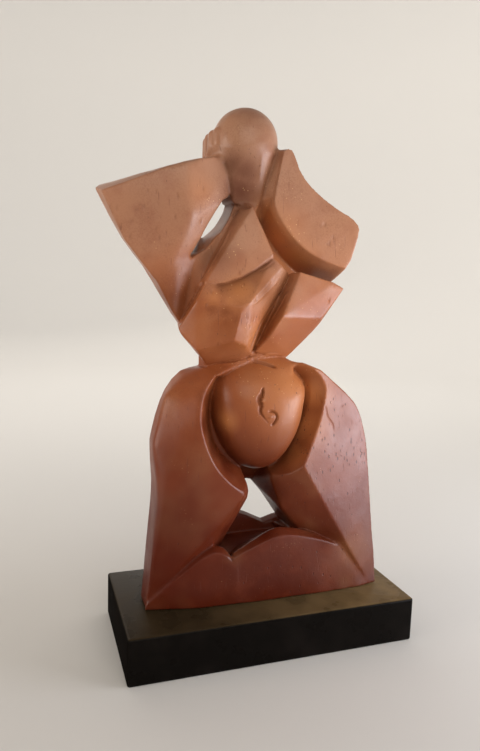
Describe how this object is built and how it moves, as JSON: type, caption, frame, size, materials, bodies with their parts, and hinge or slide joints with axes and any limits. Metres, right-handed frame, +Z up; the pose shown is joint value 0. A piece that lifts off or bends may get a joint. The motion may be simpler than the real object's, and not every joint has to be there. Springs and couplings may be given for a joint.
{
  "type": "seated figure",
  "caption": "Abstract seated figure in burnished clay, arms raised behind a faceless egg-shaped head, on a low black rectangular plinth.",
  "frame": {"origin": "middle of the plinth's underside, on the surface that it stands on", "axes": "+Z up, -Y to the figure's front, +X to the right of a person who looks at the front"},
  "size_m": [0.1605, 0.072, 0.2676],
  "materials": {
    "burnished_clay": "burnished and waxed, satin",
    "black_painted_wood": "black paint, satin"
  },
  "bodies": {
    "root": {"figure": "burnished_clay", "plinth": "black_painted_wood"}
  },
  "joints": []
}
